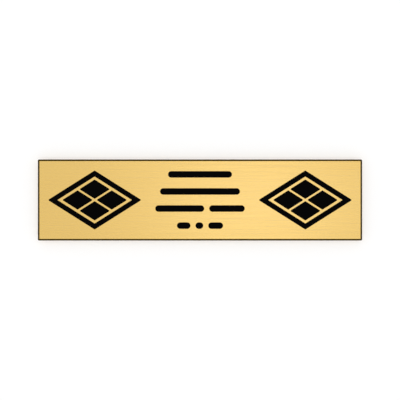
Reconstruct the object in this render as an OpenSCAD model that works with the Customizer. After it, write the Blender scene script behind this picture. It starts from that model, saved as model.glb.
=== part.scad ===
// Engraved brass sign plate, 1 in by 4 in, lying on its back with the engraved face up.
// A solid brass plate carries black enamel in engraved pockets and a dark enamel line round its
// edge. Foam tape holds it to a wall or a desk, and a release liner in two halves covers the
// tape until it is used.
// Millimetres. +X runs along the plate, +Y across it and +Z out of the engraved face.
// The origin is at the middle of the underside of the liner.

/* [Plate] */
// Length of the plate
plate_length = 101.6; // [99:0.1:150]
// Width of the plate
plate_width = 25.4; // [25:0.1:50]
// Thickness of the brass sheet
plate_thickness = 1.6; // [1.2:0.1:3.2]
// Radius of the plate's four corners
corner_radius = 0.4; // [0.2:0.1:1]
// Chamfer along the lower edge of the plate
lower_chamfer = 0.2; // [0.1:0.05:0.4]

/* [Edge line] */
// Width of the dark line round the face
edge_line_width = 0.5; // [0.3:0.05:1.5]
// Depth of the rebate that holds the line
edge_line_depth = 0.35; // [0.3:0.05:0.6]
// Chamfer along the upper edge, cut through the enamel
upper_chamfer = 0.12; // [0.05:0.01:0.2]

/* [Engraving] */
// Depth of the engraved pockets
pocket_depth = 0.5; // [0.2:0.05:0.8]
// How far the enamel lies below the face
enamel_drop = 0.12; // [0.05:0.01:0.15]
// Radius that the cutter leaves in the corners of the emblems
cutter_radius = 0.25; // [0.1:0.05:0.4]

/* [Emblems] */
// Length of an emblem along the plate, before its tips are rounded
emblem_length = 29.3; // [24:0.1:30]
// Width of an emblem across the plate, before its tips are rounded
emblem_width = 18.5; // [16:0.1:20]
// Distance from the middle of the plate to the middle of an emblem
emblem_offset = 33; // [30.5:0.1:34]
// Width of the line that frames an emblem
frame_line = 1.6; // [0.8:0.1:1.8]
// Brass left between the frame and the lozenges in it
frame_gap = 0.8; // [0.7:0.1:1.5]
// Brass left between one lozenge and the next
lozenge_gap = 0.6; // [0.4:0.1:1]

/* [Rows of bars] */
// Height of a bar, which is also the diameter of its round ends
bar_height = 2.0; // [1.5:0.1:2.3]
// Distance from one row to the next
row_pitch = 5.35; // [4:0.05:5.6]
// Brass left between two bars in one row
bar_gap = 1.6; // [1:0.1:2]

/* [Tape and liner] */
// Length of the foam tape
tape_length = 95.2; // [80:0.1:97]
// Width of the foam tape
tape_width = 19; // [15:0.1:20]
// Thickness of the foam between its two adhesive films
foam_thickness = 0.7; // [0.4:0.1:1.5]
// Thickness of each adhesive film
adhesive_thickness = 0.05; // [0.05:0.01:0.1]
// How far the liner reaches past the tape on every side
liner_margin = 1.5; // [0.5:0.1:1.7]
// Thickness of the release liner
liner_thickness = 0.12; // [0.1:0.01:0.2]
// Width of the split between the liner's two halves
liner_split = 0.2; // [0.1:0.05:0.4]

/* [Hidden] */
$fn = 48;
// Reach of the cutting solids past the surface that they cut
cut = 1;
// Radius of the tape's corners
tape_radius = 1.5;
// Straight steps in each round corner of an emblem
corner_steps = 8;

// Heights of the layers, from the surface that the plate lies on
lower_adhesive_z = liner_thickness;
foam_z = lower_adhesive_z + adhesive_thickness;
upper_adhesive_z = foam_z + foam_thickness;
plate_z = upper_adhesive_z + adhesive_thickness;
face_z = plate_z + plate_thickness;

pocket_z = face_z - pocket_depth;
enamel_thickness = pocket_depth - enamel_drop;
edge_line_z = face_z - edge_line_depth;

// Lengths of the bars in each row, from the top row down and from left to right
row_bars = [[20], [25], [15.3, 11.1], [4.2, 2.4, 4.6]];

SIDES = ["left", "right"];
// Each lozenge in an emblem, and the way it lies from the emblem's middle
LOZENGES = [["top", [0, 1]], ["bottom", [0, -1]], ["left", [-1, 0]], ["right", [1, 0]]];
// Each bar, as its name, its row and its place in the row
BARS = [
    ["row_1_bar", 0, 0],
    ["row_2_bar", 1, 0],
    ["row_3_left_bar", 2, 0],
    ["row_3_right_bar", 2, 1],
    ["row_4_left_bar", 3, 0],
    ["row_4_middle_bar", 3, 1],
    ["row_4_right_bar", 3, 2],
];

brass_colour = [0.94, 0.80, 0.50];
enamel_colour = [0.02, 0.02, 0.02];
edge_line_colour = [0.26, 0.20, 0.06];
foam_colour = [0.42, 0.43, 0.45];
adhesive_colour = [0.85, 0.84, 0.78];
liner_colour = [0.76, 0.60, 0.40];

// ---- Plan outlines ----

module rounded_rectangle(length, width, radius) {
    square([length - 2 * radius, width], center = true);
    square([length, width - 2 * radius], center = true);
    for (x = [-1, 1], y = [-1, 1])
        translate([x * (length / 2 - radius), y * (width / 2 - radius)])
            circle(r = radius);
}

// A size is the pair of a lozenge's diagonals, along X and along Y.
module lozenge(size) {
    polygon([[-size.x / 2, 0], [0, size.y / 2], [size.x / 2, 0], [0, -size.y / 2]]);
}

// The size of a lozenge whose sides lie a given distance inside those of another
function inset_size(size, distance) =
    size * (1 - distance * 2 * norm(size) / (size.x * size.y));

// Points along the round corner that the cutter leaves about a centre, between two angles
function corner(centre, start, end) = [
    for (i = [0:corner_steps])
        let (angle = start + (end - start) * i / corner_steps)
            centre + cutter_radius * [cos(angle), sin(angle)]
];

// A lozenge with round corners, each about a tip of a smaller lozenge
module cut_lozenge(size) {
    tip = inset_size(size, cutter_radius) / 2;
    // The angle that a side faces, from +X
    facing = atan2(size.x, size.y);
    polygon([
        each corner([tip.x, 0], -facing, facing),
        each corner([0, tip.y], facing, 180 - facing),
        each corner([-tip.x, 0], 180 - facing, 180 + facing),
        each corner([0, -tip.y], 180 + facing, 360 - facing),
    ]);
}

emblem_size = [emblem_length, emblem_width];
frame_opening = inset_size(emblem_size, frame_line);
// The cluster of four reaches half a gap past its lozenges on every side.
cluster_size = inset_size(emblem_size, frame_line + frame_gap - lozenge_gap / 2);
lozenge_size = inset_size(cluster_size / 2, lozenge_gap / 2);

module emblem_frame_outline(side) {
    translate([side * emblem_offset, 0])
        difference() {
            cut_lozenge(emblem_size);
            lozenge(frame_opening);
        }
}

module emblem_lozenge_outline(side, way) {
    translate([side * emblem_offset + way.x * cluster_size.x / 4, way.y * cluster_size.y / 4])
        cut_lozenge(lozenge_size);
}

function total(list, count) = count == 0 ? 0 : list[count - 1] + total(list, count - 1);
function row_length(row) =
    total(row_bars[row], len(row_bars[row])) + bar_gap * (len(row_bars[row]) - 1);
function bar_start(row, place) =
    -row_length(row) / 2 + total(row_bars[row], place) + bar_gap * place;
function row_y(row) = ((len(row_bars) - 1) / 2 - row) * row_pitch;

// A straight bar with round ends, as a round cutter leaves it
module bar_outline(row, place) {
    straight = row_bars[row][place] - bar_height;
    translate([bar_start(row, place) + bar_height / 2, row_y(row)]) {
        circle(d = bar_height);
        translate([straight, 0])
            circle(d = bar_height);
        translate([0, -bar_height / 2])
            square([straight, bar_height]);
    }
}

// ---- The plate and its enamel ----

// The plate's section, standing on y = 0
module chamfered_section(width) {
    half = width / 2;
    top = plate_thickness;
    polygon([
        [-half + lower_chamfer, 0], [half - lower_chamfer, 0],
        [half, lower_chamfer], [half, top - upper_chamfer],
        [half - upper_chamfer, top], [-half + upper_chamfer, top],
        [-half, top - upper_chamfer], [-half, lower_chamfer],
    ]);
}

// The finished outside of the plate, before anything is cut into its face
module plate_blank() {
    translate([0, 0, plate_z])
        intersection() {
            linear_extrude(plate_thickness)
                rounded_rectangle(plate_length, plate_width, corner_radius);
            rotate([90, 0, 90])
                linear_extrude(plate_length + 2 * cut, center = true)
                    chamfered_section(plate_width);
            rotate([90, 0, 0])
                linear_extrude(plate_width + 2 * cut, center = true)
                    chamfered_section(plate_length);
        }
}

// The room outside the brass land, from the floor of the edge rebate up
module edge_rebate() {
    translate([0, 0, edge_line_z])
        linear_extrude(edge_line_depth + cut)
            difference() {
                square([plate_length + 2 * cut, plate_width + 2 * cut], center = true);
                square([plate_length, plate_width] - 2 * edge_line_width * [1, 1], center = true);
            }
}

module pocket() {
    translate([0, 0, pocket_z])
        linear_extrude(pocket_depth + cut)
            children();
}

module enamel_fill() {
    color(enamel_colour)
        translate([0, 0, pocket_z])
            linear_extrude(enamel_thickness)
                children();
}

module brass_plate() {
    color(brass_colour)
        difference() {
            plate_blank();
            edge_rebate();
            for (side = [-1, 1]) {
                pocket()
                    emblem_frame_outline(side);
                for (lozenge = LOZENGES)
                    pocket()
                        emblem_lozenge_outline(side, lozenge[1]);
            }
            for (bar = BARS)
                pocket()
                    bar_outline(bar[1], bar[2]);
        }
}

module edge_line() {
    color(edge_line_colour)
        intersection() {
            plate_blank();
            edge_rebate();
        }
}

// ---- The tape and its liner ----

module tape_layer(height, thickness) {
    translate([0, 0, height])
        linear_extrude(thickness)
            rounded_rectangle(tape_length, tape_width, tape_radius);
}

module liner_half(side) {
    half_length = tape_length / 2 + liner_margin;
    width = tape_width + 2 * liner_margin;
    color(liner_colour)
        linear_extrude(liner_thickness)
            intersection() {
                rounded_rectangle(2 * half_length, width, tape_radius + liner_margin);
                translate([side * (half_length + liner_split) / 2, 0])
                    square([half_length, width], center = true);
            }
}

brass_plate();
edge_line();
for (i = [0, 1]) {
    side = 2 * i - 1;
    emblem = str(SIDES[i], "_emblem_");
    enamel_fill() emblem_frame_outline(side);
    for (lozenge = LOZENGES)
        enamel_fill() emblem_lozenge_outline(side, lozenge[1]);
}
for (bar = BARS)
    enamel_fill() bar_outline(bar[1], bar[2]);
color(adhesive_colour) tape_layer(upper_adhesive_z, adhesive_thickness);  // upper_adhesive
color(foam_colour) tape_layer(foam_z, foam_thickness);  // foam_core
color(adhesive_colour) tape_layer(lower_adhesive_z, adhesive_thickness);  // lower_adhesive
liner_half(-1);  // liner_left
liner_half(1);  // liner_right
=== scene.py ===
"""The looks of an engraved brass sign plate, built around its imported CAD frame.

The plate, its enamel, its tape and its liner are made from copies of the CAD meshes, with fine
rounds along the edges, a meniscus on the enamel and a waist in the foam. Lengths are in metres,
apart from the mesh work and the names that end in _MM, which are in millimetres.
"""

import math

import bmesh
import bpy
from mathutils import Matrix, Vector


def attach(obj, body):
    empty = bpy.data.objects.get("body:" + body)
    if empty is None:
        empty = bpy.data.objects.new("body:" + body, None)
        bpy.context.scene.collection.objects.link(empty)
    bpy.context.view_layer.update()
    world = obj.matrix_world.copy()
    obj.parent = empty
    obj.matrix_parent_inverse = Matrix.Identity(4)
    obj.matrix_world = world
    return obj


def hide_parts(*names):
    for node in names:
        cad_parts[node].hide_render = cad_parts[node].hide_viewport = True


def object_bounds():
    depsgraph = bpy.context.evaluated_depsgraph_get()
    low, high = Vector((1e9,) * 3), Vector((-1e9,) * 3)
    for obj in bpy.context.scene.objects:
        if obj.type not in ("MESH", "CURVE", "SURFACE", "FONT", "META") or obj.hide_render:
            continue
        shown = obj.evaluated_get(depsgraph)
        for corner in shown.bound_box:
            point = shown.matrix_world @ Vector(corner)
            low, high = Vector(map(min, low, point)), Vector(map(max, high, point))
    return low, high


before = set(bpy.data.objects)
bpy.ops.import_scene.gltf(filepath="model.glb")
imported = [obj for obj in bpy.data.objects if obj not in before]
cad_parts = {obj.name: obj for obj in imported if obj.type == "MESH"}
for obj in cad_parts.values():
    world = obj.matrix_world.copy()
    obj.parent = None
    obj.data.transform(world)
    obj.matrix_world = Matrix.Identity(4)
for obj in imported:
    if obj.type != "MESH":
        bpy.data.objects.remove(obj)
cad_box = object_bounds()

MM = 0.001

# Vertices nearer than this are one vertex.
WELD_MM = 0.0001
# Faces that meet at less than this angle are one flat region.
FLAT_ANGLE = math.radians(1)
# Edges that turn by more than this get a fine round.
CREASE_ANGLE = math.radians(20)
# Edges that turn by more than this are shaded as edges, so that large faces look flat.
SHADING_ANGLE = math.radians(11)

# The widths of the fine rounds along the edges of the brass and of the liner
METAL_ROUND_MM = 0.04
PAPER_ROUND_MM = 0.015
ROUND_STEPS = 2

# The enamel climbs the wall of its pocket. Its reach is within the radius of a pocket's corners.
MENISCUS_HEIGHT_MM = 0.07
MENISCUS_REACH_MM = 0.22
MENISCUS_STEPS = 6
# The power that its height falls off with, away from the wall
MENISCUS_POWER = 3

# How far the foam's cut edge is drawn in at half its height, and the rings that shape it
WAIST_MM = 0.08
WAIST_RINGS = 5

# The plate's face and its back are where the normal's Z is past this, up or down.
FACING = 0.9

# The camera looks straight down, from where the picture is 125.3 mm wide at the face.
PICTURE_WIDTH = 0.1253
LENS_MM = 100
SENSOR_MM = 36
NEAREST_SEEN = 0.01
FARTHEST_SEEN = 20

# The studio, as light from each direction. Slopes are sideways over upwards. The face mirrors the
# lamp overhead, a little to the right, which gives it a slow change of tone along its length.
LAMP_SLOPES = {"X": 0.047, "Y": 0}
LAMP_WIDTHS = {"X": 0.09, "Y": 0.045}
LAMP_LIGHT = 1.6
# The least Z that a slope is worked out with
LEAST_UP = 0.05
OVERHEAD_LIGHT = 0.84
# The Z of the directions between which the walls give way to the ceiling
CEILING_FROM = 0.75
CEILING_WHOLE = 0.92
# The walls are patches of dimmer and brighter light, as in a room.
DIM_WALL = 0.6
BRIGHT_WALL = 1.05
WALL_SCALE = 2.8
# The values of their noise at which the walls are wholly dim and wholly bright
DIM_NOISE = 0.38
BRIGHT_NOISE = 0.62
# Matt surfaces get this share of the studio's light, and the rest from the downlight.
MATT_SHARE = 0.8
BACKDROP_LIGHT = 1.03
DOWNLIGHT_POWER = 1.6
DOWNLIGHT_ANGLE = math.radians(8)

FLOOR_SIZE = 6
FLOOR_DROP_MM = 0.02


# ---- Shader nodes ----


def material(name):
    """A new node material, with its tree and its Principled shader."""
    made = bpy.data.materials.new(name)
    made.use_nodes = True
    tree = made.node_tree
    return made, tree, tree.nodes["Principled BSDF"]


def noise(tree, scale, detail=2.0, roughness=0.5):
    """Noise over the object's own coordinates. The scale is features per metre on each axis."""
    source = tree.nodes.new("ShaderNodeTexCoord")
    mapping = tree.nodes.new("ShaderNodeMapping")
    mapping.inputs["Scale"].default_value = scale
    tree.links.new(source.outputs["Object"], mapping.inputs["Vector"])
    node = tree.nodes.new("ShaderNodeTexNoise")
    node.inputs["Scale"].default_value = 1.0
    node.inputs["Detail"].default_value = detail
    node.inputs["Roughness"].default_value = roughness
    tree.links.new(mapping.outputs["Vector"], node.inputs["Vector"])
    return node.outputs["Fac"]


def cells(tree, scale):
    """The distance from the middle of the nearest cell, with a scale of cells per metre."""
    source = tree.nodes.new("ShaderNodeTexCoord")
    node = tree.nodes.new("ShaderNodeTexVoronoi")
    node.inputs["Scale"].default_value = scale
    tree.links.new(source.outputs["Object"], node.inputs["Vector"])
    return node.outputs["Distance"]


def calculate(tree, operation, first, second):
    """A Math node on two values, each a socket or a number."""
    node = tree.nodes.new("ShaderNodeMath")
    node.operation = operation
    for socket, value in zip(node.inputs, (first, second)):
        if isinstance(value, (int, float)):
            socket.default_value = value
        else:
            tree.links.new(value, socket)
    return node.outputs["Value"]


def between(tree, fac, low, high, start=0.3, end=0.7):
    """A value from low to high as fac goes from start to end."""
    node = tree.nodes.new("ShaderNodeMapRange")
    node.inputs["From Min"].default_value = start
    node.inputs["From Max"].default_value = end
    node.inputs["To Min"].default_value = low
    node.inputs["To Max"].default_value = high
    tree.links.new(fac, node.inputs["Value"])
    return node.outputs["Result"]


def blend_colours(tree, fac, first, second):
    """From the first colour to the second as fac goes from 0 to 1. Each is a socket or a tuple."""
    node = tree.nodes.new("ShaderNodeMix")
    node.data_type = "RGBA"
    tree.links.new(fac, node.inputs["Factor"])
    for socket, value in ((node.inputs["A"], first), (node.inputs["B"], second)):
        if isinstance(value, tuple):
            socket.default_value = (*value, 1)
        else:
            tree.links.new(value, socket)
    return node.outputs["Result"]


def paint(tree, shader, colour, roughness, height, depth):
    """Gives the shader a colour, a roughness, and a relief of the given depth in metres."""
    tree.links.new(colour, shader.inputs["Base Color"])
    tree.links.new(roughness, shader.inputs["Roughness"])
    relief = tree.nodes.new("ShaderNodeBump")
    relief.inputs["Distance"].default_value = depth
    tree.links.new(height, relief.inputs["Height"])
    tree.links.new(relief.outputs["Normal"], shader.inputs["Normal"])


def set_constants(shader, **values):
    """Sets the shader's own sockets, whose names have spaces for the underscores here."""
    for name, value in values.items():
        shader.inputs[name.replace("_", " ")].default_value = value


# ---- Materials ----

# The tint of brass seen nearly edge-on
BRASS_AT_EDGE = (0.92, 0.72, 0.36, 1)


def brass_face():
    """Brushed brass under clear lacquer: fine grain along X, and slow changes of tone."""
    made, tree, shader = material("brass_face")
    grain = noise(tree, (60, 9000, 9000), detail=3)
    streaks = noise(tree, (14, 1400, 1400), detail=2)
    clouds = noise(tree, (35, 35, 35), detail=3)
    tone = between(tree, calculate(tree, "ADD", streaks, clouds), 0, 1, 0.85, 1.15)
    colour = blend_colours(tree, tone, (0.894, 0.596, 0.166), (0.905, 0.608, 0.172))
    roughness = between(tree, grain, 0.22, 0.29)
    paint(tree, shader, colour, roughness, calculate(tree, "ADD", grain, streaks), 0.8e-6)
    set_constants(shader, Metallic=1.0, Specular_Tint=BRASS_AT_EDGE)
    set_constants(shader, Anisotropic=0.6, Anisotropic_Rotation=0.25)
    set_constants(shader, Coat_Weight=0.8, Coat_Roughness=0.08, Coat_IOR=1.5)
    along = tree.nodes.new("ShaderNodeVectorTransform")
    along.vector_type = "VECTOR"
    along.convert_from = "OBJECT"
    along.convert_to = "WORLD"
    along.inputs["Vector"].default_value = (1, 0, 0)
    tree.links.new(along.outputs["Vector"], shader.inputs["Tangent"])
    return made


def brass_edge():
    """Brass as the cutter leaves it: upright tool marks, long scuffs and a faint tarnish. Its
    colours are also darker than the face's, as painted shade on the cut sides.
    """
    made, tree, shader = material("brass_edge")
    marks = noise(tree, (16000, 16000, 200), detail=3, roughness=0.7)
    scuffs = noise(tree, (150, 150, 16000), detail=3, roughness=0.7)
    tarnish = noise(tree, (120, 120, 700), detail=4)
    wear = calculate(tree, "ADD", marks, calculate(tree, "MULTIPLY", scuffs, 0.4))
    shine = between(tree, wear, 0, 1, 0.55, 0.85)
    # Both brass colours here are darker than the face's: painted shade on the cut sides, under the
    # real tool marks and scuffs.
    worn_and_shaded = blend_colours(tree, shine, (0.66, 0.435, 0.145), (0.79, 0.54, 0.195))
    dullness = between(tree, tarnish, 0, 0.3, 0.45, 0.7)
    colour = blend_colours(tree, dullness, worn_and_shaded, (0.52, 0.32, 0.10))
    paint(tree, shader, colour, between(tree, wear, 0.40, 0.18, 0.5, 0.9), wear, 20e-6)
    set_constants(shader, Metallic=1.0, Specular_Tint=BRASS_AT_EDGE)
    return made


def brass_back():
    """The back of the sheet as it comes from the rolling mill, with faint lines along X."""
    made, tree, shader = material("brass_back")
    lines = noise(tree, (40, 3500, 3500), detail=4)
    clouds = noise(tree, (90, 90, 90), detail=3)
    tone = between(tree, clouds, 0, 1)
    colour = blend_colours(tree, tone, (0.72, 0.48, 0.17), (0.83, 0.575, 0.22))
    paint(tree, shader, colour, between(tree, lines, 0.24, 0.36), lines, 3e-6)
    set_constants(shader, Metallic=1.0, Specular_Tint=BRASS_AT_EDGE)
    return made


def black_enamel():
    """Black engraver's enamel, which soaks up nearly all light."""
    made, tree, shader = material("black_enamel")
    specks = noise(tree, (2500, 2500, 2500), detail=3)
    swell = noise(tree, (500, 500, 500), detail=1)
    tone = between(tree, specks, 0, 1)
    colour = blend_colours(tree, tone, (0.0004, 0.0004, 0.0005), (0.0012, 0.0011, 0.0010))
    paint(tree, shader, colour, between(tree, specks, 0.30, 0.42), swell, 6e-6)
    set_constants(shader, IOR=1.08)
    return made


def edge_enamel():
    """Dark bronze-brown enamel, rubbed down flush with the face."""
    # A dark bronze-brown colour on the rebate round the face, flush with it, which draws a dark line
    # round the plate.
    made, tree, shader = material("edge_enamel")
    specks = noise(tree, (1800, 1800, 1800), detail=3)
    tone = between(tree, specks, 0, 1)
    # This dark bronze-brown colour on the rebate makes the dark line round the face.
    colour = blend_colours(tree, tone, (0.034, 0.0195, 0.0012), (0.048, 0.0285, 0.0028))
    paint(tree, shader, colour, between(tree, specks, 0.35, 0.5), specks, 3e-6)
    set_constants(shader, IOR=1.12)
    return made


def foam():
    """Grey closed-cell foam, whose cut cells show on its edge, with painted shade darkening the
    hollow of each cell.
    """
    made, tree, shader = material("foam")
    wall = cells(tree, 7000)
    # Painted shade: the colour is darker towards the middle of each cut cell, where the relief makes
    # a hollow.
    tone = between(tree, wall, 0, 1, 0.1, 0.7)
    colour = blend_colours(tree, tone, (0.10, 0.105, 0.115), (0.21, 0.215, 0.225))
    paint(tree, shader, colour, between(tree, wall, 0.95, 0.75, 0.1, 0.7), wall, 30e-6)
    return made


def adhesive():
    """A film of acrylic adhesive: pale grey, faintly rippled, with a wet shine."""
    made, tree, shader = material("adhesive")
    ripples = noise(tree, (400, 400, 400), detail=3)
    tone = between(tree, ripples, 0, 1)
    colour = blend_colours(tree, tone, (0.55, 0.54, 0.50), (0.66, 0.65, 0.60))
    paint(tree, shader, colour, between(tree, ripples, 0.12, 0.25), ripples, 8e-6)
    set_constants(shader, IOR=1.47)
    return made


def liner_paper():
    """Brown kraft paper with a silicone face: fibres, specks, faint mottling and a soft sheen."""
    made, tree, shader = material("liner_paper")
    fibres = noise(tree, (900, 5200, 5200), detail=5, roughness=0.65)
    specks = noise(tree, (2600, 4200, 4200), detail=2)
    mottle = noise(tree, (420, 620, 620), detail=4, roughness=0.6)
    tone = between(tree, mottle, 0, 1)
    base = blend_colours(tree, tone, (0.535, 0.345, 0.165), (0.60, 0.40, 0.205))
    grain = between(tree, fibres, 0, 0.75, 0.35, 0.65)
    grained = blend_colours(tree, grain, base, (0.47, 0.285, 0.125))
    dots = between(tree, specks, 0, 0.8, 0.68, 0.78)
    colour = blend_colours(tree, dots, grained, (0.30, 0.165, 0.065))
    paint(tree, shader, colour, between(tree, fibres, 0.40, 0.58), fibres, 10e-6)
    set_constants(shader, Coat_Weight=0.25, Coat_Roughness=0.3)
    return made


def floor_paint():
    """A matt, pale floor with a trace of unevenness."""
    made, tree, shader = material("floor")
    clouds = noise(tree, (3, 3, 3))
    tone = between(tree, clouds, 0, 1)
    colour = blend_colours(tree, tone, (0.868, 0.868, 0.868), (0.872, 0.872, 0.872))
    tree.links.new(colour, shader.inputs["Base Color"])
    set_constants(shader, Roughness=0.9, IOR=1.2)
    return made


# ---- Mesh work, in millimetres ----


def cad_copy(node):
    """A CAD node's mesh, welded, with each flat region as few faces."""
    mesh = bmesh.new()
    mesh.from_mesh(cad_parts[node].data)
    bmesh.ops.scale(mesh, vec=(1 / MM, 1 / MM, 1 / MM), verts=mesh.verts)
    bmesh.ops.remove_doubles(mesh, verts=mesh.verts, dist=WELD_MM)
    bmesh.ops.dissolve_limit(mesh, angle_limit=FLAT_ANGLE, verts=mesh.verts, edges=mesh.edges)
    return mesh


def soften_edges(mesh, width):
    """A fine round along every crease, as handling and finishing leave it."""
    creases = [edge for edge in mesh.edges if edge.calc_face_angle(0) > CREASE_ANGLE]
    bmesh.ops.bevel(
        mesh, geom=creases, offset=width, offset_type="OFFSET", segments=ROUND_STEPS,
        profile=0.5, affect="EDGES", clamp_overlap=False,
    )


def outlines(top):
    """The loops of vertices round a flat top, each with the top on its left."""
    following = {}
    for face in top:
        for loop in face.loops:
            if loop.link_loop_radial_next.face not in top:
                following[loop.vert] = loop.link_loop_next.vert
    found = []
    while following:
        vert = next(iter(following))
        outline = []
        while vert in following:
            outline.append(vert)
            vert = following.pop(vert)
        found.append(outline)
    return found


def inward_steps(outline):
    """For each vertex of an outline, the step that moves both its sides inwards by one unit."""
    steps = []
    for before, here, after in zip(outline[-1:] + outline[:-1], outline, outline[1:] + outline[:1]):
        sides = [(here.co - before.co).normalized(), (after.co - here.co).normalized()]
        first, second = [Vector((-side.y, side.x, 0)) for side in sides]
        steps.append((first + second) / (1 + first.dot(second)))
    return steps


def climb_wall(mesh, rim):
    """Rings of faces from the rim, raised at the wall, to where the enamel is level."""
    steps = inward_steps(rim)
    places = [vert.co.copy() for vert in rim]
    for vert in rim:
        vert.co.z += MENISCUS_HEIGHT_MM
    ring = rim
    for i in range(1, MENISCUS_STEPS + 1):
        way = i / MENISCUS_STEPS
        rise = Vector((0, 0, MENISCUS_HEIGHT_MM * (1 - way) ** MENISCUS_POWER))
        reach = MENISCUS_REACH_MM * way
        inner = [mesh.verts.new(place + step * reach + rise) for place, step in zip(places, steps)]
        for j in range(len(ring)):
            mesh.faces.new((ring[j - 1], ring[j], inner[j], inner[j - 1]))
        ring = inner
    return ring


def raise_meniscus(mesh):
    """Gives an enamel fill a top that clings to the pocket's wall and dips to a level middle."""
    top_z = max(vert.co.z for vert in mesh.verts)
    top = {face for face in mesh.faces if min(vert.co.z for vert in face.verts) > top_z - WELD_MM}
    rims = outlines(top)
    bmesh.ops.delete(mesh, geom=list(top), context="FACES")
    level_edges = []
    for rim in rims:
        ring = climb_wall(mesh, rim)
        level_edges += [mesh.edges.get((ring[i - 1], ring[i])) for i in range(len(ring))]
    bmesh.ops.triangle_fill(mesh, use_beauty=True, edges=level_edges)
    bmesh.ops.recalc_face_normals(mesh, faces=mesh.faces)


def draw_in_waist(mesh):
    """Draws the foam's cut edge in between its two films, most at half its height."""
    low = min(vert.co.z for vert in mesh.verts)
    high = max(vert.co.z for vert in mesh.verts)
    upright = [edge for edge in mesh.edges if abs(edge.verts[0].co.z - edge.verts[1].co.z) > WELD_MM]
    bmesh.ops.subdivide_edges(mesh, edges=upright, cuts=WAIST_RINGS)
    mesh.normal_update()
    for vert in mesh.verts:
        height = (vert.co.z - low) / (high - low)
        outward = Vector((vert.normal.x, vert.normal.y, 0)).normalized()
        vert.co -= outward * WAIST_MM * 4 * height * (1 - height)


def place(mesh, node, slot, body, *materials):
    """Makes a piece of the mesh, which stands for its CAD node and rides on its body."""
    bmesh.ops.scale(mesh, vec=(MM, MM, MM), verts=mesh.verts)
    data = bpy.data.meshes.new(node + "_piece")
    mesh.to_mesh(data)
    mesh.free()
    for each in materials:
        data.materials.append(each)
    data.shade_smooth()
    data.set_sharp_from_angle(angle=SHADING_ANGLE)
    piece = bpy.data.objects.new(node + "_piece", data)
    bpy.context.scene.collection.objects.link(piece)
    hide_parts(node)
    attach(piece, body)


# ---- Pieces ----


def make_plate():
    """The brass plate, with a finish each for its face, its cut sides and its back; the cut sides
    also get darker brass, as painted shade.
    """
    mesh = cad_copy("brass_plate")
    soften_edges(mesh, METAL_ROUND_MM)
    mesh.normal_update()
    for face in mesh.faces:
        if face.normal.z > FACING:
            face.material_index = 0
        elif face.normal.z < -FACING:
            face.material_index = 2
        else:
            face.material_index = 1
    place(mesh, "brass_plate", "brass", "sign", brass_face(), brass_edge(), brass_back())


def make_edge_line():
    """The dark bronze-brown line in the rebate round the face."""
    place(cad_copy("edge_line"), "edge_line", "edge_enamel", "sign", edge_enamel())


def make_enamel():
    """The black enamel in every engraved pocket."""
    black = black_enamel()
    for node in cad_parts:
        if "_emblem_" in node or node.startswith("row_"):
            mesh = cad_copy(node)
            raise_meniscus(mesh)
            place(mesh, node, "black_enamel", "sign", black)


def make_tape():
    """The foam tape: a foam core between two adhesive films."""
    film = adhesive()
    for node in ("upper_adhesive", "lower_adhesive"):
        place(cad_copy(node), node, "adhesive", "sign", film)
    core = cad_copy("foam_core")
    draw_in_waist(core)
    place(core, "foam_core", "foam", "sign", foam())


def make_liner():
    """The two halves of the release liner, each on its own body."""
    paper = liner_paper()
    for side in ("left", "right"):
        mesh = cad_copy(f"liner_{side}")
        soften_edges(mesh, PAPER_ROUND_MM)
        place(mesh, f"liner_{side}", "liner_paper", f"liner_{side}_half", paper)


# ---- Studio ----


def make_camera():
    """A camera straight above the middle of the plate."""
    camera = bpy.data.cameras.new("camera")
    camera.lens = LENS_MM
    camera.sensor_width = SENSOR_MM
    camera.clip_start = NEAREST_SEEN
    camera.clip_end = FARTHEST_SEEN
    eye = bpy.data.objects.new("camera", camera)
    eye.location = (0, 0, cad_box[1].z + PICTURE_WIDTH * LENS_MM / SENSOR_MM)
    bpy.context.scene.collection.objects.link(eye)
    bpy.context.scene.camera = eye


def make_floor():
    """A plain floor just under the liner."""
    height = cad_box[0].z - FLOOR_DROP_MM * MM
    bpy.ops.mesh.primitive_plane_add(size=FLOOR_SIZE, location=(0, 0, height))
    floor = bpy.context.object
    floor.name = "floor"
    floor.data.materials.append(floor_paint())


def overhead_lamp(tree, way):
    """The light of a soft lamp, which falls off on both axes from its own slopes."""
    up = calculate(tree, "MAXIMUM", way.outputs["Z"], LEAST_UP)
    spread = 0
    for axis in "XY":
        slope = calculate(tree, "DIVIDE", way.outputs[axis], up)
        offset = calculate(tree, "SUBTRACT", slope, LAMP_SLOPES[axis])
        share = calculate(tree, "DIVIDE", offset, LAMP_WIDTHS[axis])
        spread = calculate(tree, "ADD", calculate(tree, "MULTIPLY", share, share), spread)
    fall = calculate(tree, "POWER", math.e, calculate(tree, "MULTIPLY", spread, -1))
    return calculate(tree, "MULTIPLY", fall, LAMP_LIGHT)


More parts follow.
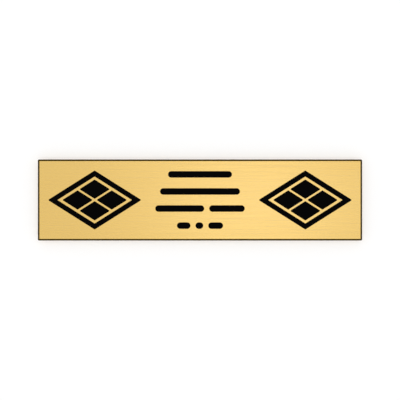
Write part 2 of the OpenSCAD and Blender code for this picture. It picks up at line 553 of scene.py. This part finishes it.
def room(tree, direction, way):
    """The light of the walls and, overhead, of the ceiling."""
    patches = tree.nodes.new("ShaderNodeTexNoise")
    patches.inputs["Scale"].default_value = WALL_SCALE
    patches.inputs["Detail"].default_value = 0
    tree.links.new(direction, patches.inputs["Vector"])
    walls = between(tree, patches.outputs["Fac"], DIM_WALL, BRIGHT_WALL, DIM_NOISE, BRIGHT_NOISE)
    ceiling = between(tree, way.outputs["Z"], 0, 1, CEILING_FROM, CEILING_WHOLE)
    return calculate(
        tree, "ADD",
        calculate(tree, "MULTIPLY", ceiling, OVERHEAD_LIGHT),
        calculate(tree, "MULTIPLY", calculate(tree, "SUBTRACT", 1, ceiling), walls),
    )


def make_world():
    """The studio round the plate, whose backdrop the camera sees as plain white."""
    world = bpy.data.worlds.new("studio")
    world.use_nodes = True
    tree = world.node_tree
    direction = tree.nodes.new("ShaderNodeTexCoord").outputs["Generated"]
    way = tree.nodes.new("ShaderNodeSeparateXYZ")
    tree.links.new(direction, way.inputs["Vector"])
    light = calculate(tree, "ADD", overhead_lamp(tree, way), room(tree, direction, way))
    path = tree.nodes.new("ShaderNodeLightPath")
    share = between(tree, path.outputs["Is Diffuse Ray"], 1, MATT_SHARE, 0, 1)
    backdrop = tree.nodes.new("ShaderNodeMix")
    tree.links.new(path.outputs["Is Camera Ray"], backdrop.inputs["Factor"])
    tree.links.new(calculate(tree, "MULTIPLY", light, share), backdrop.inputs["A"])
    backdrop.inputs["B"].default_value = BACKDROP_LIGHT
    background = tree.nodes["Background"]
    background.inputs["Color"].default_value = (1, 1, 1, 1)
    tree.links.new(backdrop.outputs["Result"], background.inputs["Strength"])
    bpy.context.scene.world = world


def make_downlight():
    """Light straight down, which evens out the floor and stays out of the gloss."""
    light = bpy.data.lights.new("downlight", "SUN")
    light.energy = DOWNLIGHT_POWER
    light.angle = DOWNLIGHT_ANGLE
    lamp = bpy.data.objects.new("downlight", light)
    lamp.visible_glossy = False
    bpy.context.scene.collection.objects.link(lamp)


make_camera()
make_plate()
make_edge_line()
make_enamel()
make_tape()
make_liner()
make_floor()
make_world()
make_downlight()
bpy.context.scene.view_settings.view_transform = "Standard"
